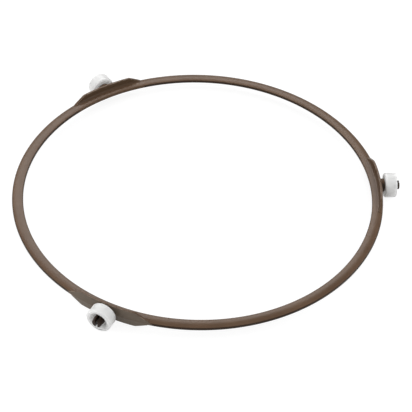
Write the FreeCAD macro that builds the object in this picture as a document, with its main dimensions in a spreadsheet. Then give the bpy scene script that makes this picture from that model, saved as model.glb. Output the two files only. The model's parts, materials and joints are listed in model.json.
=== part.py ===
import FreeCAD, Part
import math
import os
import Sketcher

# A microwave roller ring: one moulded ring with upright brackets, and a roller on the pin of each.
# The ring lies flat with +Z up. Its axis is the Z axis, and z = 0 is the surface it rolls on.
# The first roller stands on the +X axis.

ROLLERS = 3

# Driving sizes in millimetres, and degrees for the draft and the crown. Heights of the bracket and
# the axle are counted from the middle of the ring's section, and lengths along a pin run outwards.
SIZES = {
    "ring_outer_diameter": (210.0, "ring, across its outer edge"),
    "ring_width": (6.2, "ring section, inner edge to outer edge"),
    "ring_height": (2.65, "ring section, bottom to top"),
    "ring_side_flat": (0.7, "flat of the ring's inner and outer sides, between their roundings"),
    "ring_crown": (17.0, "slope that the ring's crowned top and bottom reach at their edges"),
    "bracket_inset": (0.15, "bracket's outer face inside the ring's outer edge, at mid height"),
    "bracket_draft": (5.0, "lean of the bracket's outer face towards each rim"),
    "bracket_rise": (5.4, "bracket's upper rim above the ring's middle"),
    "bracket_drop": (4.7, "bracket's lower rim below the ring's middle"),
    "bracket_length": (51.5, "bracket from tip to tip"),
    "bracket_rim_length": (32.0, "straight part of the bracket's rims"),
    "bracket_thickness": (1.2, "bracket wall at its rims"),
    "bracket_rim_radius": (0.3, "rounding of the rims"),
    "bracket_root_radius": (1.6, "hollow between the bracket wall and the ring"),
    "bracket_root_bite": (0.1, "how far the hollow's foot runs into the ring"),
    "axle_rise": (0.8, "pin axis above the ring's middle"),
    "boss_step": (1.4, "shoulder that keeps the roller off the bracket, over the shank"),
    "boss_length": (1.6, "shoulder, from the bracket's outer face at mid height"),
    "pin_diameter": (4.8, "shank that the roller turns on"),
    "pin_barb_step": (0.5, "snap head in front of the roller's web, over the shank"),
    "pin_barb_length": (0.4, "slope under the snap head"),
    "pin_head_length": (1.6, "widest part of the snap head"),
    "pin_nose_taper": (0.4, "tip of the pin, below its snap head"),
    "pin_reach": (2.0, "tip of the pin beyond the roller's outer face"),
    "slot_width": (1.4, "slot that splits the pin into two prongs"),
    "slot_start": (1.0, "bottom of the slot, beyond the boss face"),
    "roller_diameter": (14.0, "tread"),
    "roller_width": (6.5, "inner face to outer face"),
    "roller_edge_radius": (0.5, "rounding of the tread's edges"),
    "roller_rim_wall": (2.1, "tread to the mouth of the cup in the outer face"),
    "recess_taper": (0.4, "cup's side, from its mouth in to its floor"),
    "recess_depth": (3.0, "cup, mouth to floor"),
    "recess_lip_radius": (0.4, "rounding of the cup's mouth"),
    "running_clearance": (0.08, "roller bore around the shank, on the radius"),
    "side_clearance": (0.25, "roller's play along the pin, at each side"),
}

doc = FreeCAD.newDocument("roller_ring")
sheet = doc.addObject("Spreadsheet::Sheet", "Sizes")
for row, (alias, (value, note)) in enumerate(SIZES.items(), start=1):
    sheet.set(f"A{row}", alias)
    sheet.set(f"B{row}", str(value))
    sheet.set(f"C{row}", note)
    sheet.setAlias(f"B{row}", alias)
doc.recompute()

# Heights above the rolling surface.
AXLE_HEIGHT = "(Sizes.roller_diameter / 2)"
RING_MIDDLE = f"({AXLE_HEIGHT} - Sizes.axle_rise)"

# Roundings that follow from the walls they are on. The ring's edges run smoothly into its crown.
CROWN_SLOPE = "(Sizes.ring_crown * 1 deg)"
CROWN_GAIN = "tan(Sizes.ring_crown * 0.5 deg)"
EDGE_ROOM = "((Sizes.ring_height - Sizes.ring_side_flat) / 2)"
RING_EDGE = f"(({EDGE_ROOM} - Sizes.ring_width / 2 * {CROWN_GAIN}) / (1 - {CROWN_GAIN}))"
RING_CROWN = f"({RING_EDGE} + (Sizes.ring_width / 2 - {RING_EDGE}) / sin({CROWN_SLOPE}))"
ROOT_FOOT = "(Sizes.ring_height / 2 - Sizes.bracket_root_bite)"
ROOT_ROOM = f"(min(Sizes.bracket_rise; Sizes.bracket_drop) - {ROOT_FOOT} - 2 * Sizes.bracket_rim_radius)"
ROOT_RADIUS = f"min(Sizes.bracket_root_radius; {ROOT_ROOM})"

# Radii from the pin's axis.
SHANK = "(Sizes.pin_diameter / 2)"
BOSS = f"({SHANK} + Sizes.boss_step)"
SNAP_HEAD = f"({SHANK} + Sizes.pin_barb_step)"
NOSE = f"({SNAP_HEAD} - Sizes.pin_nose_taper)"
BORE = f"({SHANK} + Sizes.running_clearance)"
TREAD = "(Sizes.roller_diameter / 2)"
RECESS_MOUTH = f"({TREAD} - Sizes.roller_rim_wall)"
RECESS_WALL_FOOT = f"({RECESS_MOUTH} - Sizes.recess_taper)"

# Radii from the ring's axis.
RING_OUTER = "(Sizes.ring_outer_diameter / 2)"
RING_INNER = f"({RING_OUTER} - Sizes.ring_width)"
BRACKET_FACE = f"({RING_OUTER} - Sizes.bracket_inset)"
BOSS_FACE = f"({BRACKET_FACE} + Sizes.boss_length)"
ROLLER_INNER_FACE = f"({BOSS_FACE} + Sizes.side_clearance)"
ROLLER_OUTER_FACE = f"({ROLLER_INNER_FACE} + Sizes.roller_width)"
RECESS_FLOOR = f"({ROLLER_OUTER_FACE} - Sizes.recess_depth)"
BARB_FOOT = f"({RECESS_FLOOR} + Sizes.side_clearance)"
PIN_TIP = f"({ROLLER_OUTER_FACE} + Sizes.pin_reach)"

# Numbers that a sketch gives to its own axes, and to the ends of an edge. The x axis starts at the
# sketch's origin.
X_AXIS = -1
Y_AXIS = -2
START = 1
END = 2


def number(expression):
    """The value that an expression on the sizes sheet has now."""
    return float(sheet.evalExpression(expression))


def origin_feature(body, role):
    """A plane or axis of a body's own origin."""
    for feature in body.Origin.OriginFeatures:
        if feature.Role == role:
            return feature
    raise ValueError(f"{body.Label} has no {role}")


def new_sketch(body, name, plane, up, height):
    """A sketch on one of the body's planes, moved to a height along its own axis that points up."""
    sketch = body.newObject("Sketcher::SketchObject", name)
    sketch.AttachmentSupport = [(origin_feature(body, plane), "")]
    sketch.MapMode = "FlatFace"
    sketch.setExpression(f"AttachmentOffset.Base.{up}", height)
    return sketch


def add_curve(sketch, start, end, radius):
    """A straight edge, or an arc that turns left for a radius above zero and right below it.

    Gives the edge's index and the numbers of its ends, in the outline's order.
    """
    if radius == 0:
        return sketch.addGeometry(Part.LineSegment(start, end), False), START, END
    chord = end - start
    middle = (start + end) * 0.5
    left = FreeCAD.Vector(-chord.y, chord.x, 0).normalize()
    offset = math.sqrt(max(radius ** 2 - (chord.Length / 2) ** 2, 0.0))
    centre = middle + left * math.copysign(offset, radius)
    circle = Part.Circle(centre, FreeCAD.Vector(0, 0, 1), abs(radius))
    first, last = (start, end) if radius > 0 else (end, start)
    angles = [math.atan2(point.y - centre.y, point.x - centre.x) for point in (first, last)]
    if angles[1] < angles[0]:
        angles[1] += 2 * math.pi
    index = sketch.addGeometry(Part.ArcOfCircle(circle, *angles), False)
    return (index, START, END) if radius > 0 else (index, END, START)


def tie_corner(sketch, edge, vertex, kind, axis, expression):
    """Ties one coordinate of a corner to the sheet, or puts the corner on a sketch axis."""
    if expression == "0":
        sketch.addConstraint(Sketcher.Constraint("PointOnObject", edge, vertex, axis))
        return
    value = number(expression)
    index = sketch.addConstraint(Sketcher.Constraint(kind, X_AXIS, START, edge, vertex, value))
    sketch.setExpression(f"Constraints[{index}]", expression)


def draw_outline(sketch, corners):
    """Draws a closed outline through corners given as pairs of expressions on the sheet.

    A corner's third entry is the radius of the arc that leads from it to the next corner, with a
    minus sign where that arc turns right. Every corner and radius follows the sheet.
    """
    corners = [corner if len(corner) == 3 else (*corner, "0") for corner in corners]
    points = [FreeCAD.Vector(number(x), number(y), 0) for x, y, _ in corners]
    edges = []
    for here, corner in enumerate(corners):
        after = (here + 1) % len(corners)
        edges.append(add_curve(sketch, points[here], points[after], number(corner[2])))
    for here, (x, y, radius) in enumerate(corners):
        edge, start, end = edges[here]
        next_edge, next_start, _ = edges[(here + 1) % len(corners)]
        sketch.addConstraint(Sketcher.Constraint("Coincident", edge, end, next_edge, next_start))
        tie_corner(sketch, edge, start, "DistanceX", Y_AXIS, x)
        tie_corner(sketch, edge, start, "DistanceY", X_AXIS, y)
        if radius != "0":
            size = radius.lstrip("-")
            index = sketch.addConstraint(Sketcher.Constraint("Radius", edge, number(size)))
            sketch.setExpression(f"Constraints[{index}]", size)


def revolve(body, sketch, axis, angle="360", midplane=False):
    """Turns a sketch about one of its own axes."""
    feature = body.newObject("PartDesign::Revolution", f"{sketch.Name}_turned")
    feature.Profile = sketch
    feature.ReferenceAxis = (sketch, [axis])
    feature.Midplane = midplane
    feature.setExpression("Angle", angle)
    return feature


def draw_ring_section(sketch):
    """The ring's section, a crowned strip with round edges. Its middle is the sketch's x axis."""
    flat = "Sizes.ring_side_flat / 2"
    top = f"({flat} + {RING_EDGE} * cos({CROWN_SLOPE}))"
    inset = f"({RING_EDGE} * (1 - sin({CROWN_SLOPE})))"
    draw_outline(sketch, [
        (f"{RING_INNER} + {inset}", f"-{top}", RING_CROWN),
        (f"{RING_OUTER} - {inset}", f"-{top}", RING_EDGE),
        (RING_OUTER, f"-{flat}"),
        (RING_OUTER, flat, RING_EDGE),
        (f"{RING_OUTER} - {inset}", top, RING_CROWN),
        (f"{RING_INNER} + {inset}", top, RING_EDGE),
        (RING_INNER, flat),
        (RING_INNER, f"-{flat}", RING_EDGE),
    ])


def draw_bracket_section(sketch):
    """The bracket wall's section, with rounded rims and a hollow root above and below the ring."""
    rim = "Sizes.bracket_rim_radius"
    lean = "tan(Sizes.bracket_draft * 1 deg)"
    upper_face = f"({BRACKET_FACE} - Sizes.bracket_rise * {lean})"
    lower_face = f"({BRACKET_FACE} - Sizes.bracket_drop * {lean})"
    upper_back = f"({upper_face} - Sizes.bracket_thickness)"
    lower_back = f"({lower_face} - Sizes.bracket_thickness)"
    draw_outline(sketch, [
        (f"{lower_back} + {rim}", "-Sizes.bracket_drop"),
        (f"{lower_face} - {rim}", "-Sizes.bracket_drop", rim),
        (f"{lower_face}", f"{rim} - Sizes.bracket_drop"),
        (BRACKET_FACE, "0"),
        (upper_face, f"Sizes.bracket_rise - {rim}", rim),
        (f"{upper_face} - {rim}", "Sizes.bracket_rise"),
        (f"{upper_back} + {rim}", "Sizes.bracket_rise", rim),
        (upper_back, f"Sizes.bracket_rise - {rim}"),
        (upper_back, f"{ROOT_FOOT} + {ROOT_RADIUS}", f"-{ROOT_RADIUS}"),
        (f"{upper_back} - {ROOT_RADIUS}", ROOT_FOOT),
        (f"{lower_back} - {ROOT_RADIUS}", f"-{ROOT_FOOT}", f"-{ROOT_RADIUS}"),
        (lower_back, f"-{ROOT_FOOT} - {ROOT_RADIUS}"),
        (lower_back, f"{rim} - Sizes.bracket_drop", rim),
    ])


def draw_bracket_trim(sketch):
    """What is cut from the bracket wall: all around its six-sided outline, seen from outside."""
    tip = "Sizes.bracket_length / 2"
    flat = "Sizes.bracket_rim_length / 2"
    draw_outline(sketch, [
        (f"-{tip}", "0"),
        (f"-{flat}", "-Sizes.bracket_drop"),
        (flat, "-Sizes.bracket_drop"),
        (tip, "0"),
        (flat, "Sizes.bracket_rise"),
        (f"-{flat}", "Sizes.bracket_rise"),
    ])
    draw_outline(sketch, [
        ("-Sizes.bracket_length", "-Sizes.roller_diameter"),
        ("Sizes.bracket_length", "-Sizes.roller_diameter"),
        ("Sizes.bracket_length", "Sizes.roller_diameter"),
        ("-Sizes.bracket_length", "Sizes.roller_diameter"),
    ])


def draw_pin_section(sketch):
    """Half the section of boss and pin, above their axis, which is the sketch's x axis."""
    inside_wall = f"({BRACKET_FACE} - Sizes.bracket_thickness / 2)"
    head_start = f"({BARB_FOOT} + Sizes.pin_barb_length)"
    head_end = f"({head_start} + Sizes.pin_head_length)"
    draw_outline(sketch, [
        (inside_wall, "0"),
        (PIN_TIP, "0"),
        (PIN_TIP, NOSE),
        (head_end, SNAP_HEAD),
        (head_start, SNAP_HEAD),
        (BARB_FOOT, SHANK),
        (BOSS_FACE, SHANK),
        (BOSS_FACE, BOSS),
        (inside_wall, BOSS),
    ])


def draw_pin_slot(sketch):
    """The slot that lets the pin's two prongs close, seen from above."""
    half = "Sizes.slot_width / 2"
    start = f"{BOSS_FACE} + Sizes.slot_start"
    end = f"{PIN_TIP} + Sizes.slot_width"
    draw_outline(sketch, [
        (start, f"-{half}"),
        (end, f"-{half}"),
        (end, half),
        (start, half),
    ])


def draw_roller_section(sketch):
    """Half the roller's section, above its axis: bore, web, cup and tread."""
    edge = "Sizes.roller_edge_radius"
    lip = "Sizes.recess_lip_radius"
    draw_outline(sketch, [
        (ROLLER_INNER_FACE, BORE),
        (RECESS_FLOOR, BORE),
        (RECESS_FLOOR, RECESS_WALL_FOOT),
        (f"{ROLLER_OUTER_FACE} - {lip}", RECESS_MOUTH, f"-{lip}"),
        (ROLLER_OUTER_FACE, f"{RECESS_MOUTH} + {lip}"),
        (ROLLER_OUTER_FACE, f"{TREAD} - {edge}", edge),
        (f"{ROLLER_OUTER_FACE} - {edge}", TREAD),
        (f"{ROLLER_INNER_FACE} + {edge}", TREAD, edge),
        (ROLLER_INNER_FACE, f"{TREAD} - {edge}"),
    ])


def make_ring_frame():
    """Ring, brackets, bosses and split pins: one moulding."""
    body = doc.addObject("PartDesign::Body", "ring_frame")

    bracket = new_sketch(body, "bracket_section", "XZ_Plane", "y", RING_MIDDLE)
    draw_bracket_section(bracket)
    sweep = f"2 * asin(Sizes.bracket_length / 2 / {RING_INNER})"
    wall = revolve(body, bracket, "V_Axis", sweep, midplane=True)

    outline = new_sketch(body, "bracket_trim", "YZ_Plane", "y", RING_MIDDLE)
    draw_bracket_trim(outline)
    trim = body.newObject("PartDesign::Pocket", "bracket_trimmed")
    trim.Profile = outline
    trim.Type = "ThroughAll"
    trim.Reversed = True

    section = new_sketch(body, "pin_section", "XZ_Plane", "y", AXLE_HEIGHT)
    draw_pin_section(section)
    pin = revolve(body, section, "H_Axis")

    opening = new_sketch(body, "pin_slot", "XY_Plane", "z", AXLE_HEIGHT)
    draw_pin_slot(opening)
    slot = body.newObject("PartDesign::Pocket", "pin_slotted")
    slot.Profile = opening
    slot.SideType = "Symmetric"
    slot.setExpression("Length", "Sizes.roller_diameter")

    stations = body.newObject("PartDesign::PolarPattern", "stations")
    stations.Originals = [wall, trim, pin, slot]
    stations.Axis = (origin_feature(body, "Z_Axis"), [""])
    stations.Angle = 360
    stations.Occurrences = ROLLERS
    body.Tip = stations

    ring = new_sketch(body, "ring_section", "XZ_Plane", "y", RING_MIDDLE)
    draw_ring_section(ring)
    body.Tip = revolve(body, ring, "V_Axis")
    return body


def make_roller(number_on_ring):
    """One roller, turned about its pin's axis and swung round to its place on the ring."""
    body = doc.addObject("PartDesign::Body", f"roller_{number_on_ring}")
    section = new_sketch(body, f"roller_{number_on_ring}_section", "XZ_Plane", "y", AXLE_HEIGHT)
    draw_roller_section(section)
    revolve(body, section, "H_Axis")
    turn = 360 / ROLLERS * (number_on_ring - 1)
    body.Placement = FreeCAD.Placement(FreeCAD.Vector(), FreeCAD.Rotation(FreeCAD.Vector(0, 0, 1), turn))
    return body


sub_parts = [make_ring_frame()]
for place in range(1, ROLLERS + 1):
    sub_parts.append(make_roller(place))
doc.recompute()

for item in doc.Objects:
    if "Invalid" in item.State or "Error" in item.State:
        raise RuntimeError(f"{item.Label} did not build: {item.State}")
for part in sub_parts:
    if part.Shape.isNull() or not part.Shape.isValid():
        raise RuntimeError(f"{part.Label} has no valid shape")
    if len(part.Shape.Solids) != 1:
        raise RuntimeError(f"{part.Label} is not one solid")

os.makedirs("parts", exist_ok=True)
for part in sub_parts:
    part.Shape.exportStep(f"parts/{part.Label}.step")
    print(f"{part.Label}: {part.Shape.Volume:.1f} mm3")
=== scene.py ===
# %% [markdown]
# # A microwave roller ring
# The ring carries the glass tray of a microwave oven. It is one brown moulding with three upright
# brackets, and a white roller is snapped onto a split pin on each bracket. The imported frame gives
# the real sizes and places, so nothing here has to be fitted by eye. We load it first and read sizes
# from its box.

# %% Load the frame
import json
import math

import bmesh
import bpy
from mathutils import Matrix, Vector


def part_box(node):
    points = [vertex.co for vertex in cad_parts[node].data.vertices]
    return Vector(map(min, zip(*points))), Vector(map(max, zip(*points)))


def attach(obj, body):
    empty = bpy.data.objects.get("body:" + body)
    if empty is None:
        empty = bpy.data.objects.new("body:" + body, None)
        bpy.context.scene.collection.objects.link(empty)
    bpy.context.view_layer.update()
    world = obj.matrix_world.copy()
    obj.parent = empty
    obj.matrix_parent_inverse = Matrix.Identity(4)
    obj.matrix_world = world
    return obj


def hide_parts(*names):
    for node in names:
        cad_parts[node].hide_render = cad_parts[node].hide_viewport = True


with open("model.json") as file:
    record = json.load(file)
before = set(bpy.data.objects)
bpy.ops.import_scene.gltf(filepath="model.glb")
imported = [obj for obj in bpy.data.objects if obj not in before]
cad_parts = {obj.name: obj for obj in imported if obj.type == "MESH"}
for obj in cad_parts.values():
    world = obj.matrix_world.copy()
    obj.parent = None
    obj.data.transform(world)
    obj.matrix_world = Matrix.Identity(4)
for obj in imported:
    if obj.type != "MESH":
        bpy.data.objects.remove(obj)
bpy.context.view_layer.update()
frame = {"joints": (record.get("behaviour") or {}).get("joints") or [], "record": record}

# %% [markdown]
# ## Sizes
# A maker works in millimetres, and Blender in metres, so the sizes below are in millimetres and are
# turned into metres only when a mesh is made. Whatever the frame knows is read from it. The rest
# are the roundings and steps of the moulding. Heights are counted from the middle of the ring's
# section, and distances along a pin from the ring's axis.

# %% Sizes that the frame gives
MM = 0.001
ring_bore = next(mount for mount in frame["record"]["mounts"] if mount["name"] == "ring_bore")
ring_low, ring_high = (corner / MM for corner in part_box("ring_frame"))
roller_low, roller_high = (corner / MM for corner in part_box("roller_1"))

RING_INNER = ring_bore["dims"]["r_mm"]
RING_OUTER = -ring_low.x
RING_MIDDLE = ring_bore["pos_m"][2] / MM
SIDE_FLAT = ring_bore["dims"]["length_mm"] / 2
BRACKET_RISE = ring_high.z - RING_MIDDLE
BRACKET_DROP = RING_MIDDLE - ring_low.z
PIN_TIP = ring_high.x
AXLE_HEIGHT = (roller_low.z + roller_high.z) / 2
AXLE_RISE = AXLE_HEIGHT - RING_MIDDLE
TREAD = (roller_high.z - roller_low.z) / 2
ROLLER_INNER_FACE, ROLLER_OUTER_FACE = roller_low.x, roller_high.x
print(f"ring {RING_INNER:.1f} to {RING_OUTER:.1f} mm from its axis, rollers {TREAD * 2:.1f} mm across")

# %% Sizes of the moulding's own details
RING_HALF_HEIGHT = 1.325
RING_HALF_WIDTH = (RING_OUTER - RING_INNER) / 2
CROWN_SLOPE = 17
BRACKET_INSET = 0.15
BRACKET_FACE = RING_OUTER - BRACKET_INSET
BRACKET_DRAFT = 5
BRACKET_LEAN = math.tan(math.radians(BRACKET_DRAFT))
BRACKET_WALL = 1.2
BRACKET_RIM = 0.3
BRACKET_HALF_LENGTH = 25.75
BRACKET_HALF_FLAT = 16.0
ROOT_RADIUS = 1.6
ROOT_BITE = 0.1
ROOT_FOOT = RING_HALF_HEIGHT - ROOT_BITE
print(f"brackets {2 * BRACKET_HALF_LENGTH:.1f} mm long on a strip {2 * RING_HALF_HEIGHT:.2f} mm high")

# %% [markdown]
# ## The ring's section
# The moulding is a crowned strip with round edges, and at each bracket a thin wall grows out of it, up
# and down, with a hollow at its root. It could be built from a torus and three walls joined by Booleans,
# but then every joint would be a hard crease. Instead one section is swept round the ring and
# changes as it goes: the wall rises out of the strip and sinks back into it, so the surface is one
# net of four-sided faces. Each half of the section is a list of points from the outer side, over the
# top, to the inner side. The list always has the same number of points, so that neighbours can be
# joined.

# %% Points along a line and along an arc
def arc(centre, radius, start, end, count):
    """Points of an arc in the plane of the section, with angles in degrees."""
    points = []
    for step in range(count):
        angle = math.radians(start + (end - start) * step / (count - 1))
        points.append((centre[0] + radius * math.cos(angle), centre[1] + radius * math.sin(angle)))
    return points


def spread(points, count):
    """The same broken line with count points, evenly spaced along it."""
    lengths = [math.dist(a, b) for a, b in zip(points, points[1:])]
    step = sum(lengths) / (count - 1)
    placed = []
    index, passed = 0, 0.0
    for number in range(count):
        wanted = number * step
        while index < len(lengths) - 1 and passed + lengths[index] < wanted:
            passed += lengths[index]
            index += 1
        share = min((wanted - passed) / lengths[index], 1.0)
        (ax, ay), (bx, by) = points[index], points[index + 1]
        placed.append((ax + (bx - ax) * share, ay + (by - ay) * share))
    return placed


quarter = arc((0, 0), 1, 0, 90, 4)
print("a quarter turn in four points:", [(round(x, 2), round(y, 2)) for x, y in quarter])

# %% [markdown]
# The strip's top is a shallow arc, its crown, which runs smoothly into the smaller arcs of the edges.
# Two arcs touch smoothly where their centres and the touching point are in one line, and that gives
# the radius of each. The outer rounding stands a hair proud of the bracket's leaning face. The point
# where the two meet divides the outline into a part that never changes and a part that becomes the
# wall.

# %% The strip's outline, in the parts that the sweep needs
def wall_face(height):
    """Distance of the bracket's outer face from the ring's axis."""
    return BRACKET_FACE - abs(height) * BRACKET_LEAN


lean = math.radians(CROWN_SLOPE)
crown_gain = math.tan(lean / 2)
RING_EDGE = (RING_HALF_HEIGHT - SIDE_FLAT - RING_HALF_WIDTH * crown_gain) / (1 - crown_gain)
CROWN_RADIUS = RING_EDGE + (RING_HALF_WIDTH - RING_EDGE) / math.sin(lean)
CROWN_CENTRE = (RING_INNER + RING_HALF_WIDTH, RING_HALF_HEIGHT - CROWN_RADIUS)


def crown_height(radius):
    """Height of the strip's top at a distance from the ring's axis."""
    return CROWN_CENTRE[1] + math.sqrt(CROWN_RADIUS ** 2 - (radius - CROWN_CENTRE[0]) ** 2)


CROWN_POINTS = 121
ROUND_POINTS = 181
OUTER_POINTS = 7
INNER_POINTS = 8
WALL_POINTS = {"face": 6, "outer rim": 5, "rim": 4, "inner rim": 5, "back": 14}
TOP_POINTS = 10

crown = arc(CROWN_CENTRE, CROWN_RADIUS, 90 - CROWN_SLOPE, 90 + CROWN_SLOPE, CROWN_POINTS)
outer_round = arc((RING_OUTER - RING_EDGE, SIDE_FLAT), RING_EDGE, 0, 90 - CROWN_SLOPE, ROUND_POINTS)
meeting = next(i for i, (r, z) in enumerate(outer_round) if r < wall_face(z))
OUTER_SIDE = [(RING_OUTER, 0.0)] + spread(outer_round[:meeting + 1], OUTER_POINTS)
INNER_SIDE = arc((RING_INNER + RING_EDGE, SIDE_FLAT), RING_EDGE, 90 + CROWN_SLOPE, 180, INNER_POINTS)
print(f"edges of {RING_EDGE:.2f} mm run into a crown of {CROWN_RADIUS:.2f} mm")


# %% Half of the section, with or without a wall
HOLLOW_POINTS = 61


def wall_back(height, tallest):
    """The bracket's back from a height down to the ring's top: a flat, then the hollow."""
    back = wall_face(tallest) - BRACKET_WALL
    centre = (back - ROOT_RADIUS, ROOT_FOOT + ROOT_RADIUS)
    hollow = [p for p in arc(centre, ROOT_RADIUS, 0, -90, HOLLOW_POINTS) if p[1] > crown_height(p[0])]
    lower = [p for p in hollow if p[1] < height]
    if height > centre[1]:
        return [(back, height)] + lower
    across = math.sqrt(ROOT_RADIUS ** 2 - (centre[1] - height) ** 2)
    return [(centre[0] + across, height)] + lower


def half_with_wall(height, tallest):
    """Outline of the half section where the wall reaches a height."""
    base = OUTER_SIDE[-1]
    rim = min(BRACKET_RIM, (height - base[1]) / 3)
    shoulder = height - rim
    back = wall_back(shoulder, tallest)
    outer_corner = (wall_face(height) - rim, shoulder)
    inner_corner = (back[0][0] + rim, shoulder)
    face = spread([base, (wall_face(height), shoulder)], WALL_POINTS["face"])
    outer = arc(outer_corner, rim, 0, 90, WALL_POINTS["outer rim"])
    flat = spread([(outer_corner[0], height), (inner_corner[0], height)], WALL_POINTS["rim"])
    inner = arc(inner_corner, rim, 90, 180, WALL_POINTS["inner rim"])
    foot = spread(back, WALL_POINTS["back"])
    top = spread([foot[-1]] + [p for p in crown if p[0] < foot[-1][0]], TOP_POINTS)
    wall = face[1:] + outer[1:] + flat[1:] + inner[1:] + foot[1:]
    return OUTER_SIDE + wall + top[1:] + INNER_SIDE[1:]


def half_without_wall(tallest):
    """The plain strip, with its points where those of the lowest wall would be."""
    foot = wall_back(tallest, tallest)[-1][0]
    start = (foot, crown_height(foot))
    hidden = outer_round[meeting:] + [p for p in crown[1:] if p[0] > foot] + [start]
    top = spread([start] + [p for p in crown if p[0] < foot], TOP_POINTS)
    wall_count = sum(WALL_POINTS.values()) - len(WALL_POINTS)
    return OUTER_SIDE + spread(hidden, wall_count + 1)[1:] + top[1:] + INNER_SIDE[1:]


print("points in half a section:", len(half_with_wall(BRACKET_RISE, BRACKET_RISE)),
      "and", len(half_without_wall(BRACKET_RISE)))

# %% [markdown]
# ## The sweep
# Seen from outside, a bracket is a flat hexagon: level along its middle, then sloping down to the
# strip. So the wall's height follows from the distance along the bracket. Just before the wall sinks
# into the strip, the two outlines are mixed, which gives the soft end that a mould leaves. The
# sections stand close together at the brackets and far apart elsewhere.

# %% Height of the wall along a bracket
CORNER_SOFTNESS = 0.4
SINK_LEVEL = crown_height(BRACKET_FACE - BRACKET_WALL / 2)
SINK_HEIGHT = 0.6


def wall_height(along, tallest):
    """Height of the wall at a distance along the bracket from its middle."""
    past = abs(along) - BRACKET_HALF_FLAT
    eased = (past + math.hypot(past, CORNER_SOFTNESS)) / 2
    slope = tallest / (BRACKET_HALF_LENGTH - BRACKET_HALF_FLAT)
    return tallest - slope * eased


def half_section(along, tallest):
    """Half of the section at a place along a bracket, or of the plain strip far from it."""
    plain = half_without_wall(tallest)
    height = wall_height(along, tallest)
    share = min(max((height - SINK_LEVEL) / SINK_HEIGHT, 0.0), 1.0)
    if share == 0.0:
        return plain
    share = share * share * (3 - 2 * share)
    wall = half_with_wall(max(height, RING_HALF_HEIGHT + BRACKET_RIM), tallest)
    return [(pr + (wr - pr) * share, pz + (wz - pz) * share) for (pr, pz), (wr, wz) in zip(plain, wall)]


print(f"wall {wall_height(0, BRACKET_RISE):.2f} mm high at its middle,",
      f"{wall_height(BRACKET_HALF_FLAT, BRACKET_RISE):.2f} mm where it starts to slope down")

# %% Sweep the section round the ring
STATIONS = len(frame["joints"])
BRACKET_STEP = 0.4
BRACKET_REACH = 24.4
PLAIN_STEPS = 64

pitch = 2 * math.pi / STATIONS
reach = math.asin(BRACKET_REACH / BRACKET_FACE)
bracket_steps = round(2 * BRACKET_REACH / BRACKET_STEP)


def station_angles():
    """Angles of the sections from the middle of one bracket to the middle of the next."""
    near = [math.asin((-BRACKET_REACH + BRACKET_STEP * n) / BRACKET_FACE) for n in range(bracket_steps)]
    plain = [reach + (pitch - 2 * reach) * n / PLAIN_STEPS for n in range(PLAIN_STEPS)]
    return near + plain


def swept_ring():
    """The strip and its three walls as one closed net."""
    net = bmesh.new()
    rings = []
    for station in range(STATIONS):
        for angle in station_angles():
            along = BRACKET_FACE * math.sin(angle) if angle <= reach else BRACKET_REACH
            upper = half_section(along, BRACKET_RISE)
            lower = half_section(along, BRACKET_DROP)
            outline = upper + [(r, -z) for r, z in reversed(lower[1:])]
            turned = angle + station * pitch
            ring = []
            for r, z in outline:
                place = Vector((r * math.cos(turned), r * math.sin(turned), z + RING_MIDDLE))
                ring.append(net.verts.new(place * MM))
            rings.append(ring)
    for here, there in zip(rings, rings[1:] + rings[:1]):
        for a, b, c, d in zip(here, there, there[1:] + there[:1], here[1:] + here[:1]):
            net.faces.new((a, b, c, d))
    bmesh.ops.recalc_face_normals(net, faces=net.faces)
    mesh = bpy.data.meshes.new("ring_strip")
    net.to_mesh(mesh)
    net.free()
    return mesh


strip = swept_ring()
print("sweep:", len(strip.polygons), "faces")

# %% [markdown]
# ## Boss and split pin
# Each bracket carries a round boss, which keeps the roller off the wall, and a pin with a snap head.
# A slot splits the pin, so that its two prongs close while the roller is pushed on. Boss and pin are
# round, so they are turned from a profile, and the slot is cut out with a Boolean. The foot of the
# boss spreads out a little and follows the leaning, curved wall.

# %% Sizes of boss and pin
SHANK = 2.4
BOSS_STEP = 1.4
BARB_STEP = 0.5
NOSE_TAPER = 0.4
BOSS = SHANK + BOSS_STEP
SNAP_HEAD = SHANK + BARB_STEP
NOSE = SNAP_HEAD - NOSE_TAPER

SIDE_CLEARANCE = 0.25
RECESS_DEPTH = 3.0
BARB_LENGTH = 0.4
HEAD_LENGTH = 1.6
BOSS_FACE = ROLLER_INNER_FACE - SIDE_CLEARANCE
RECESS_FLOOR = ROLLER_OUTER_FACE - RECESS_DEPTH
BARB_FOOT = RECESS_FLOOR + SIDE_CLEARANCE
HEAD_START = BARB_FOOT + BARB_LENGTH
HEAD_END = HEAD_START + HEAD_LENGTH

SLOT_WIDTH = 1.4
SLOT_OFFSET = 1.0
SLOT_START = BOSS_FACE + SLOT_OFFSET
FOOT_SPREAD = 0.35
FOOT_DEPTH = 0.5
EDGE_SOFTNESS = 0.2
print(f"boss {2 * BOSS:.1f} mm across, pin {2 * SHANK:.1f} mm, snap head {2 * SNAP_HEAD:.1f} mm")


# %% Turn a profile about the pin's axis
def turn_profile(profile, sides, closed, shift=None):
    """A round mesh from (distance along the axis, radius) points. A shift moves points along the axis."""
    net = bmesh.new()
    rows = []
    for along, radius in profile:
        row = []
        for side in range(sides):
            angle = 2 * math.pi * side / sides
            y, z = radius * math.cos(angle), radius * math.sin(angle)
            moved = along + (shift(along, y, z) if shift else 0.0)
            row.append(net.verts.new(Vector((moved, y, z)) * MM))
        rows.append(row)
    pairs = list(zip(rows, rows[1:])) + ([(rows[-1], rows[0])] if closed else [])
    for here, there in pairs:
        for a, b, c, d in zip(here, there, there[1:] + there[:1], here[1:] + here[:1]):
            net.faces.new((a, b, c, d))
    if not closed:
        net.faces.new(rows[0])
        net.faces.new(rows[-1])
    bmesh.ops.recalc_face_normals(net, faces=net.faces)
    mesh = bpy.data.meshes.new("turned")
    net.to_mesh(mesh)
    net.free()
    return mesh


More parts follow.
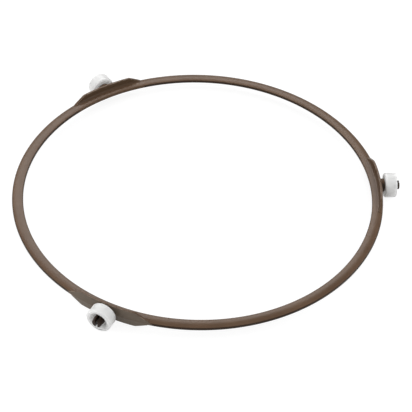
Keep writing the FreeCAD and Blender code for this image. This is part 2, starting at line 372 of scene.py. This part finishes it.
def follow_wall(along, y, z):
    """How far the boss's foot has to move to stay on the curved, leaning wall."""
    if along > BRACKET_FACE + FOOT_SPREAD:
        return 0.0
    return math.sqrt(wall_face(z + AXLE_RISE) ** 2 - y ** 2) - BRACKET_FACE


PIN_SIDES = 72
pin_profile = [(BRACKET_FACE - FOOT_DEPTH, BOSS + FOOT_SPREAD)]
pin_profile += arc((BRACKET_FACE + FOOT_SPREAD, BOSS + FOOT_SPREAD), FOOT_SPREAD, 180, 270, 6)
pin_profile += arc((BOSS_FACE - EDGE_SOFTNESS, BOSS - EDGE_SOFTNESS), EDGE_SOFTNESS, 90, 0, 5)
pin_profile += [(BOSS_FACE, SHANK + EDGE_SOFTNESS), (BOSS_FACE + EDGE_SOFTNESS / 2, SHANK)]
pin_profile += [(SLOT_START, SHANK), (BARB_FOOT, SHANK), (HEAD_START, SNAP_HEAD), (HEAD_END, SNAP_HEAD)]
pin_profile += arc((PIN_TIP - EDGE_SOFTNESS, NOSE - EDGE_SOFTNESS), EDGE_SOFTNESS, 80, 0, 5)
pin_mesh = turn_profile(pin_profile, PIN_SIDES, closed=False, shift=follow_wall)
print("pin:", len(pin_mesh.polygons), "faces before its slot is cut")


# %% Objects, and meshes worked out from modifiers
def add_object(name, mesh):
    """Links a mesh into the scene as an object."""
    made = bpy.data.objects.new(name, mesh)
    bpy.context.scene.collection.objects.link(made)
    return made


def modified_mesh(thing, name):
    """The mesh that an object's modifiers give. The object itself is removed."""
    depsgraph = bpy.context.evaluated_depsgraph_get()
    mesh = bpy.data.meshes.new_from_object(thing.evaluated_get(depsgraph))
    mesh.name = name
    bpy.data.objects.remove(thing)
    return mesh


def boolean(thing, operation, other):
    """Joins another object to a thing, or cuts it out of it."""
    modifier = thing.modifiers.new(operation.lower(), "BOOLEAN")
    modifier.operation = operation
    modifier.solver = "EXACT"
    modifier.object = other


# %% Cut the slot and soften its edges
SLOT_EDGE = 0.12
SHARP = math.radians(40)

cutter_net = bmesh.new()
bmesh.ops.create_cube(cutter_net, size=1.0)
slot_length = PIN_TIP - SLOT_START + SLOT_WIDTH
slot_height = 4 * BOSS
for corner in cutter_net.verts:
    corner.co = Vector((SLOT_START + slot_length * (corner.co.x + 0.5), SLOT_WIDTH * corner.co.y,
                        slot_height * corner.co.z)) * MM
cutter_mesh = bpy.data.meshes.new("slot")
cutter_net.to_mesh(cutter_mesh)
cutter_net.free()
cutter = add_object("slot_cutter", cutter_mesh)

pin = add_object("pin", pin_mesh)
boolean(pin, "DIFFERENCE", cutter)
softened = pin.modifiers.new("edges", "BEVEL")
softened.width = SLOT_EDGE * MM
softened.segments = 2
softened.limit_method = "ANGLE"
softened.angle_limit = SHARP
split_pin = modified_mesh(pin, "split_pin")
bpy.data.objects.remove(cutter)
print("split pin:", len(split_pin.polygons), "faces")

# %% [markdown]
# ## One moulding
# Ring, walls, bosses and pins leave the mould as one piece, so the three pins are joined to the
# sweep with a Boolean union, and the result stands for the frame's own solid. It rides on the same
# body, so it takes part in the motion.

# %% Join the pins to the sweep
def station_matrix(station):
    """Places a thing made along the x axis, at the axle's height, at a station."""
    return Matrix.Rotation(station * pitch, 4, "Z") @ Matrix.Translation((0, 0, AXLE_HEIGHT * MM))


pins_net = bmesh.new()
for station in range(STATIONS):
    copy = split_pin.copy()
    copy.transform(station_matrix(station))
    pins_net.from_mesh(copy)
pins_mesh = bpy.data.meshes.new("pins")
pins_net.to_mesh(pins_mesh)
pins_net.free()
pins = add_object("pins", pins_mesh)
sweep = add_object("sweep", strip)
boolean(sweep, "UNION", pins)
moulding_mesh = modified_mesh(sweep, "ring_moulding")
bpy.data.objects.remove(pins)
print("joined:", len(moulding_mesh.polygons), "faces")

# %% [markdown]
# Where two nets cross, a Boolean leaves slivers far smaller than anything a mould can show. Vertices that
# almost touch are welded, so that the shading stays even around the bosses.

# %% Weld the slivers and shade the moulding
WELD = 0.02
SMOOTH_ANGLE = math.radians(35)


def smooth(mesh):
    """Shades a mesh smooth, except where its faces meet at a sharp angle."""
    mesh.shade_smooth()
    mesh.set_sharp_from_angle(angle=SMOOTH_ANGLE)


welded = bmesh.new()
welded.from_mesh(moulding_mesh)
bmesh.ops.remove_doubles(welded, verts=welded.verts, dist=WELD * MM)
bmesh.ops.dissolve_degenerate(welded, edges=welded.edges, dist=WELD * MM)
open_edges = sum(not edge.is_manifold for edge in welded.edges)
welded.to_mesh(moulding_mesh)
welded.free()
smooth(moulding_mesh)
moulding = add_object("ring_moulding", moulding_mesh)
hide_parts("ring_frame")
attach(moulding, "ring_frame")
print("moulding:", len(moulding_mesh.polygons), "faces and", open_edges, "open edges")

# %% [markdown]
# ## Rollers
# Each roller is a small white wheel with a plain tread, a bore for the pin and a cup in its outer
# face that hides the snap head. All three are the same moulding, so they share one turned mesh. Its
# origin is on the axle, so that the finish can be laid out along the axle and turns with the roller.

# %% Turn the roller
ROLLER_SIDES = 128
ROLLER_EDGE = 0.5
RUNNING_CLEARANCE = 0.08
BORE = SHANK + RUNNING_CLEARANCE
RIM_WALL = 2.1
RECESS_MOUTH = TREAD - RIM_WALL
RECESS_TAPER = 0.4
RECESS_WALL_FOOT = RECESS_MOUTH - RECESS_TAPER
RECESS_LIP = 0.4
BORE_EDGE = 0.12
FLOOR_ROUND = 0.25

lip_centre = (ROLLER_OUTER_FACE - RECESS_LIP, RECESS_MOUTH + RECESS_LIP)
roller_profile = arc((ROLLER_INNER_FACE + BORE_EDGE, BORE + BORE_EDGE), BORE_EDGE, 180, 270, 4)
roller_profile += arc((RECESS_FLOOR - BORE_EDGE, BORE + BORE_EDGE), BORE_EDGE, 270, 360, 4)
roller_profile += arc((RECESS_FLOOR + FLOOR_ROUND, RECESS_WALL_FOOT - FLOOR_ROUND), FLOOR_ROUND, 180, 90, 5)
roller_profile += arc(lip_centre, RECESS_LIP, -90, 0, 7)
roller_profile += arc((ROLLER_OUTER_FACE - ROLLER_EDGE, TREAD - ROLLER_EDGE), ROLLER_EDGE, 0, 90, 8)
roller_profile += arc((ROLLER_INNER_FACE + ROLLER_EDGE, TREAD - ROLLER_EDGE), ROLLER_EDGE, 90, 180, 8)
ROLLER_MIDDLE = (ROLLER_INNER_FACE + ROLLER_OUTER_FACE) / 2
roller_profile = [(along - ROLLER_MIDDLE, radius) for along, radius in roller_profile]
roller_mesh = turn_profile(roller_profile, ROLLER_SIDES, closed=True)
roller_mesh.name = "roller"
smooth(roller_mesh)

rollers = []
for station in range(STATIONS):
    node = f"roller_{station + 1}"
    roller = add_object(f"{node}_moulding", roller_mesh)
    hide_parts(node)
    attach(roller, node)
    roller.matrix_world = station_matrix(station) @ Matrix.Translation((ROLLER_MIDDLE * MM, 0, 0))
    rollers.append(roller)
print("rollers:", len(rollers), "of", len(roller_mesh.polygons), "faces each")

# %% [markdown]
# ## Where edges are
# Handling rubs the edges of a moulding pale, and the edges also carry a painted highlight. To know
# where the edges are, we measure how strongly the mesh bends at each vertex and keep that in an
# attribute, which the finish can read. This follows the real shape, so no mask has to be painted.

# %% Measure the bend at each vertex
def measure_bend(mesh):
    """Stores the mean bend at each vertex, as 1 over its radius in millimetres: above 0 on edges."""
    bend = [0.0] * len(mesh.vertices)
    count = [0] * len(mesh.vertices)
    for edge in mesh.edges:
        for here, there in (edge.vertices, reversed(edge.vertices)):
            step = (mesh.vertices[there].co - mesh.vertices[here].co) / MM
            bend[here] -= 2 * step.dot(mesh.vertices[here].normal) / step.length_squared
            count[here] += 1
    means = [total / number for total, number in zip(bend, count)]
    mesh.attributes.new("bend", "FLOAT", "POINT").data.foreach_set("value", means)
    print(f"{mesh.name}: bend from {min(means):.2f} to {max(means):.2f}")


measure_bend(moulding_mesh)
measure_bend(roller_mesh)

# %% [markdown]
# The faces of the brackets get painted light of their own: the outer faces are painted a lighter,
# greyer brown, and the inner faces lighter than the strip's sides. They are marked in the same way,
# by the side to which they look: outwards to the roller, or inwards to the middle of the ring. A vertex
# starts to count as part of a face where it looks 0.4 that way, and counts fully from 0.8 on.

# %% Mark the faces of the brackets
WALL_SIDE = (0.4, 0.8)


def mark_walls(mesh):
    """Stores how far a bracket's face looks outwards: 1 outside, -1 inside, and 0 on the plain ring."""
    looks = []
    for vertex in mesh.vertices:
        angle = math.atan2(vertex.co.y, vertex.co.x)
        along = BRACKET_FACE * math.sin((angle + pitch / 2) % pitch - pitch / 2)
        outward = vertex.normal.x * math.cos(angle) + vertex.normal.y * math.sin(angle)
        looks.append(outward if abs(along) < BRACKET_REACH else 0.0)
    mesh.attributes.new("wall", "FLOAT", "POINT").data.foreach_set("value", looks)
    print("vertices on outer faces of brackets:", sum(look > WALL_SIDE[1] for look in looks))


mark_walls(moulding_mesh)

# %% [markdown]
# ## Shader maths as plain expressions
# A finish is a small sum: a colour, a little lighter on the edges, a little darker on the sides.
# Wiring such sums by hand takes many lines, so one small class stands for a wire that leaves a
# socket. Adding or multiplying wires makes the Math nodes, and one method makes any other node.

# %% A wire between nodes
class Wire:
    """A socket in a node tree that works in sums like a number."""

    def __init__(self, tree, socket=None):
        self.tree = tree
        self.socket = socket

    def node(self, kind, settings, sockets, output=0):
        """Makes a node: settings first, then values or wires for its sockets. Gives one output."""
        made = self.tree.nodes.new(kind)
        for name, value in settings.items():
            setattr(made, name, value)
        for name, value in sockets.items():
            if isinstance(value, Wire):
                self.tree.links.new(value.socket, made.inputs[name])
            else:
                made.inputs[name].default_value = value
        return Wire(self.tree, made.outputs[output] if made.outputs else None)

    def maths(self, operation, first, second):
        """A Math node for two wires or numbers."""
        return self.node("ShaderNodeMath", {"operation": operation}, {0: first, 1: second})

    def __add__(self, other):
        return self.maths("ADD", self, other)

    def __radd__(self, other):
        return self.maths("ADD", other, self)

    def __sub__(self, other):
        return self.maths("SUBTRACT", self, other)

    def __rsub__(self, other):
        return self.maths("SUBTRACT", other, self)

    def __mul__(self, other):
        return self.maths("MULTIPLY", self, other)

    def __rmul__(self, other):
        return self.maths("MULTIPLY", other, self)

    def attribute(self, name):
        """What the mesh stores under a name at each vertex."""
        return self.node("ShaderNodeAttribute", {"attribute_name": name}, {}, "Fac")

    def noise(self, scale, detail):
        """Noise laid out by this wire's place, with about scale spots in a metre."""
        return self.node("ShaderNodeTexNoise", {}, {"Vector": self, "Scale": scale, "Detail": detail}, "Fac")

    def distance(self, axes):
        """Distance of this wire's place from the origin, counted along the axes that are 1."""
        kept = self.node("ShaderNodeVectorMath", {"operation": "MULTIPLY"}, {0: self, 1: axes})
        return self.node("ShaderNodeVectorMath", {"operation": "LENGTH"}, {0: kept}, "Value")

    def step(self, low, high):
        """0 below low, 1 above high, and a soft step between."""
        settings = {"interpolation_type": "SMOOTHSTEP"}
        return self.node("ShaderNodeMapRange", settings, {"Value": self, "From Min": low, "From Max": high})

    def blend(self, low, high):
        """A colour between two colours, with this wire as the share of the second."""
        return self.node("ShaderNodeMix", {"data_type": "RGBA"}, {"Factor": self, 6: low, 7: high}, 2)


print("a wire takes part in sums with +, - and *, from either side")


# %% A new finish and its wires
def new_finish(name):
    """A new material, a wire to start its nodes from, and its shader."""
    material = bpy.data.materials.new(name)
    material.use_nodes = True
    shader = material.node_tree.nodes["Principled BSDF"]
    return material, Wire(material.node_tree), shader


def connect(shader, **wires):
    """Feeds wires to a shader's sockets, whose names are written with _ for a space."""
    for name, wire in wires.items():
        wire.tree.links.new(wire.socket, shader.inputs[name.replace("_", " ").title()])


print("materials in the file so far:", len(bpy.data.materials))

# %% [markdown]
# ## Brown moulding
# The plastic is a warm brown with a satin surface. A mould leaves a fine even grain, and the melt leaves
# faint clouds where it flowed. The top of the strip is painted paler, as painted light, and the sides of
# the strip are painted darker, as painted shade. The edges are paler from wear and from a painted
# highlight. The pins are painted dark, as painted shade of the rollers around them. The outer faces of
# the brackets are painted a lighter, greyer brown, as painted light and sheen, and their inner faces are
# painted lighter than the strip's sides, as painted light. Colour, roughness and bump share the same
# few noises, so that they belong together.

# %% Finish of the brown moulding
# Painted shade: the sides of the strip are painted this dark brown, darker than the top.
BROWN_SHADED_SIDE = (0.032, 0.018, 0.010, 1)
# Painted light and sheen: the outer faces of the brackets are painted this lighter, greyer brown.
BROWN_LIT_FACE = (0.140, 0.110, 0.083, 1)
# Painted light: the inner faces of the brackets are painted lighter than the strip's sides.
BROWN_LIT_BACK = (0.085, 0.050, 0.028, 1)
# Random clouded tone of the strip's top, which is painted paler than the sides as painted light.
BROWN_DEEP = (0.104, 0.060, 0.034, 1)
BROWN_PALE = (0.128, 0.076, 0.045, 1)
# Edges: paler from wear and from a painted highlight.
BROWN_EDGE_WEAR_AND_HIGHLIGHT = (0.340, 0.265, 0.210, 1)
# Painted shade: the pins inside the rollers are painted nearly black.
BROWN_SHADED_PIN = (0.028, 0.016, 0.010, 1)
EDGE_BEND = (0.9, 1.7)
TOP_TILT = (0.70, 0.95)
SATIN_ROUGHNESS = 0.32
MOULDING_GRAIN = 0.06 * MM


def brown_moulding():
    """Satin brown plastic with clouds and grain, with painted light on its top and bracket faces, painted
    shade on its sides and pins, and edges paler from wear and a painted highlight.
    """
    material, wire, shader = new_finish("brown_moulding")
    place = wire.node("ShaderNodeTexCoord", {}, {}, "Object")
    cloud = place.noise(70, 4)
    patch = place.noise(420, 3)
    grain = place.noise(3200, 2)
    # Edges are paler from wear in patches and from a painted highlight.
    edge = wire.attribute("bend").step(*EDGE_BEND) * patch.step(0.3, 0.7)
    facing = wire.node("ShaderNodeTexCoord", {}, {}, "Normal")
    # Painted light and shade: faces that look up are painted paler, and the sides darker.
    lit_top_share = wire.node("ShaderNodeSeparateXYZ", {}, {"Vector": facing}, "Z").step(*TOP_TILT)
    lit_top_clouds = (0.7 * cloud + 0.3 * grain).step(0.35, 0.65).blend(BROWN_DEEP, BROWN_PALE)
    # Painted light on the faces of the brackets, both outer and inner.
    wall = wire.attribute("wall")
    inner_side = (0 - wall).step(*WALL_SIDE).blend(BROWN_SHADED_SIDE, BROWN_LIT_BACK)
    side = wall.step(*WALL_SIDE).blend(inner_side, BROWN_LIT_FACE)
    body = lit_top_share.blend(side, lit_top_clouds)
    # Painted shade: the pins, inside the rollers, are painted dark.
    pin = place.distance((1, 1, 0)).step(BOSS_FACE * MM, ROLLER_INNER_FACE * MM)
    colour = pin.blend((0.8 * edge).blend(body, BROWN_EDGE_WEAR_AND_HIGHLIGHT), BROWN_SHADED_PIN)
    rough = SATIN_ROUGHNESS + 0.10 * (cloud - 0.5) + 0.10 * (grain - 0.5) - 0.06 * edge
    bump = wire.node("ShaderNodeBump", {}, {"Height": grain + 0.6 * patch, "Strength": 0.35,
                                            "Distance": MOULDING_GRAIN}, "Normal")
    connect(shader, base_color=colour, roughness=rough, normal=bump)
    shader.inputs["Specular IOR Level"].default_value = 0.12
    return material


moulding_mesh.materials.clear()
moulding_mesh.materials.append(brown_moulding())
print("finish:", moulding_mesh.materials[0].name)

# %% [markdown]
# ## White rollers
# The rollers are a smooth, hard white plastic that lets a little light through, so their shaded sides
# stay pale. Their tread shows faint rings from the turned mould and a slightly greyer track where they
# run on the oven floor and under the tray, and their edges are scuffed in places.

# %% Finish of the white rollers
WHITE_CLEAN = (0.84, 0.84, 0.83, 1)
WHITE_SOFT = (0.80, 0.80, 0.79, 1)
WHITE_TRACK = (0.74, 0.735, 0.72, 1)
TRACK_HALF_WIDTH = 2.4 * MM
TREAD_EDGE = ((TREAD - 0.3) * MM, (TREAD - 0.1) * MM)
SCUFF_BEND = (0.4, 0.9)
ROLLER_ROUGHNESS = 0.40
ROLLER_GRAIN = 0.04 * MM
LIGHT_REACH = 8 * MM


def white_roller():
    """Smooth white plastic with mould rings, a worn track on the tread and scuffed edges."""
    material, wire, shader = new_finish("white_roller")
    place = wire.node("ShaderNodeTexCoord", {}, {}, "Object")
    along = wire.node("ShaderNodeSeparateXYZ", {}, {"Vector": place}, "X")
    cloud = place.noise(260, 4)
    grain = place.noise(2400, 2)
    rings = wire.node("ShaderNodeTexNoise", {"noise_dimensions": "1D"}, {"W": along, "Scale": 2600}, "Fac")
    side = wire.maths("ABSOLUTE", along, 0.0)
    tread = place.distance((0, 1, 1)).step(*TREAD_EDGE)
    track = tread * (1 - side.step(TRACK_HALF_WIDTH * 0.7, TRACK_HALF_WIDTH)) * cloud.step(0.3, 0.7)
    scuff = wire.attribute("bend").step(*SCUFF_BEND) * cloud.step(0.45, 0.65)
    body = cloud.step(0.3, 0.7).blend(WHITE_SOFT, WHITE_CLEAN)
    colour = (0.6 * track + 0.5 * scuff).blend(body, WHITE_TRACK)
    rough = ROLLER_ROUGHNESS + 0.12 * (cloud - 0.5) + 0.10 * track + 0.10 * scuff
    bump = wire.node("ShaderNodeBump", {}, {"Height": 0.6 * rings + 0.4 * grain, "Strength": 0.25,
                                            "Distance": ROLLER_GRAIN}, "Normal")
    connect(shader, base_color=colour, roughness=rough, normal=bump)
    shader.inputs["Specular IOR Level"].default_value = 0.3
    shader.inputs["Subsurface Weight"].default_value = 1.0
    shader.inputs["Subsurface Radius"].default_value = (1, 1, 1)
    shader.inputs["Subsurface Scale"].default_value = LIGHT_REACH
    return material


roller_mesh.materials.clear()
roller_mesh.materials.append(white_roller())
print("finish:", roller_mesh.materials[0].name)

# %% [markdown]
# ## Floor and background
# The floor and the world are white to the camera and in reflections, and plain to every other ray,
# so the background is white without more light on the object. The floor still darkens where the
# object keeps the light off it, and far away it fades into the white of the background, so that no
# horizon shows. Seen from below it is clear, so that the underside can be looked at.

# %% Floor and world
FLOOR_HALF = 2.0
FLOOR_BOUNCE = (0.90, 0.90, 0.90, 1)
FLOOR_SEEN = (0.25, 0.25, 0.25, 1)
FLOOR_LIFT = (0.86, 0.86, 0.86, 1)
FLOOR_FADE = (0.25, 0.70)
WORLD_FILL = (0.36, 0.36, 0.36, 1)
WHITE = (1, 1, 1, 1)


def seen_by_eye(wire):
    """1 for rays from the camera, from reflections and through glass, and 0 for other rays."""
    rays = [wire.node("ShaderNodeLightPath", {}, {}, f"Is {kind} Ray")
            for kind in ("Camera", "Glossy", "Transmission")]
    return wire.maths("MAXIMUM", wire.maths("MAXIMUM", rays[0], rays[1]), rays[2])


def floor_finish():
    """White to the eye with the object's shadow, plain grey to other rays, clear from below."""
    material = bpy.data.materials.new("floor")
    material.use_nodes = True
    tree = material.node_tree
    tree.nodes.clear()
    wire = Wire(tree)
    bounce = wire.node("ShaderNodeBsdfDiffuse", {}, {"Color": FLOOR_BOUNCE})
    lit = wire.node("ShaderNodeBsdfDiffuse", {}, {"Color": FLOOR_SEEN})
    place = wire.node("ShaderNodeTexCoord", {}, {}, "Object")
    away = wire.node("ShaderNodeVectorMath", {"operation": "LENGTH"}, {0: place}, "Value")
    lift = wire.node("ShaderNodeEmission", {}, {"Color": away.step(*FLOOR_FADE).blend(FLOOR_LIFT, WHITE)})
    shown = wire.node("ShaderNodeAddShader", {}, {0: lit, 1: lift})
    above = wire.node("ShaderNodeMixShader", {}, {0: seen_by_eye(wire), 1: bounce, 2: shown})
    clear = wire.node("ShaderNodeBsdfTransparent", {}, {})
    below = wire.node("ShaderNodeNewGeometry", {}, {}, "Backfacing")
    whole = wire.node("ShaderNodeMixShader", {}, {0: below, 1: above, 2: clear})
    wire.node("ShaderNodeOutputMaterial", {}, {"Surface": whole})
    return material


floor_mesh = bpy.data.meshes.new("floor")
corners = [(-FLOOR_HALF, -FLOOR_HALF, 0), (FLOOR_HALF, -FLOOR_HALF, 0),
           (FLOOR_HALF, FLOOR_HALF, 0), (-FLOOR_HALF, FLOOR_HALF, 0)]
floor_mesh.from_pydata(corners, [], [(0, 1, 2, 3)])
floor_mesh.materials.append(floor_finish())
add_object("floor", floor_mesh)

world = bpy.data.worlds.new("studio")
bpy.context.scene.world = world
world.use_nodes = True
sky = Wire(world.node_tree)
connect(world.node_tree.nodes["Background"], color=seen_by_eye(sky).blend(WORLD_FILL, WHITE))
print("floor", 2 * FLOOR_HALF, "m wide, world fill", WORLD_FILL[0])

# %% [markdown]
# ## Camera
# The camera looks down on the ring from about 44 degrees with a long lens. Its place is given as a
# photographer would say it: how high, how far to the side, how far off, and how much it is tipped.
# The aim is a little off the ring's middle, as in the photograph, so no lens shift is needed.

# %% Camera
ELEVATION = math.radians(43.59)
SIDE_TURN = math.radians(-4.46)
TIP = math.radians(1.79)
DISTANCE = 775.6
AIM_RIGHT = 4.55
AIM_DOWN = 9.01
FRAME_PIXELS = 412
FOCAL_PIXELS = 1363.8
SENSOR = 36.0

looking_back = Vector((0, -math.cos(ELEVATION), math.sin(ELEVATION)))
axes = Matrix((Vector((1, 0, 0)), looking_back.cross(Vector((1, 0, 0))), looking_back)).transposed()
axes = Matrix.Rotation(SIDE_TURN, 3, "Z") @ axes @ Matrix.Rotation(TIP, 3, "Z")
eye = axes @ Vector((AIM_RIGHT, -AIM_DOWN, DISTANCE)) + Vector((0, 0, RING_MIDDLE))
lens = bpy.data.cameras.new("camera")
lens.sensor_width = SENSOR
lens.lens = SENSOR * FOCAL_PIXELS / FRAME_PIXELS
camera = bpy.data.objects.new("camera", lens)
camera.matrix_world = Matrix.Translation(eye * MM) @ axes.to_4x4()
bpy.context.scene.collection.objects.link(camera)
bpy.context.scene.camera = camera
bpy.context.scene.view_settings.view_transform = "Standard"
print(f"camera at {[round(n * MM, 3) for n in eye]} m, {lens.lens:.0f} mm lens")

# %% [markdown]
# ## Light
# The strongest soft box stands on the left, others behind the ring and on its right, and weak ones hang
# overhead and in front. So the top of the strip is brightest, and the sides that face us stay darker. The
# pale sheen along the strip is the reflection of a bright card behind the ring. The card shows in
# reflections alone, so it puts no light on the white rollers, which would clip.

# %% Soft boxes
def soft_box(name, azimuth, elevation, distance, width, height, power, only_in_reflections=False):
    """A soft light aimed at the ring, with its place given as seen from the ring."""
    lamp = bpy.data.lights.new(name, "AREA")
    lamp.shape = "RECTANGLE"
    lamp.size = width
    lamp.size_y = height
    lamp.energy = power
    turn, rise = math.radians(azimuth), math.radians(elevation)
    out = Vector((math.cos(rise) * math.cos(turn), math.cos(rise) * math.sin(turn), math.sin(rise)))
    made = bpy.data.objects.new(name, lamp)
    made.location = out * distance
    made.rotation_euler = out.to_track_quat("Z", "Y").to_euler()
    made.visible_camera = False
    made.visible_diffuse = not only_in_reflections
    bpy.context.scene.collection.objects.link(made)


soft_box("back_box", azimuth=100, elevation=48, distance=0.7, width=0.60, height=0.24, power=1.1)
soft_box("top_box", azimuth=270, elevation=86, distance=1.2, width=0.7, height=0.7, power=1.3)
soft_box("left_box", azimuth=190, elevation=24, distance=0.7, width=0.52, height=0.35, power=2.2)
soft_box("right_box", azimuth=0, elevation=36, distance=0.7, width=0.52, height=0.35, power=1.6)
soft_box("front_box", azimuth=285, elevation=10, distance=0.7, width=0.45, height=0.25, power=0.4)
soft_box("sheen_card", azimuth=96, elevation=40, distance=0.55, width=0.50, height=0.24, power=2.0,
         only_in_reflections=True)
print("lights:", ", ".join(lamp.name for lamp in bpy.data.lights))
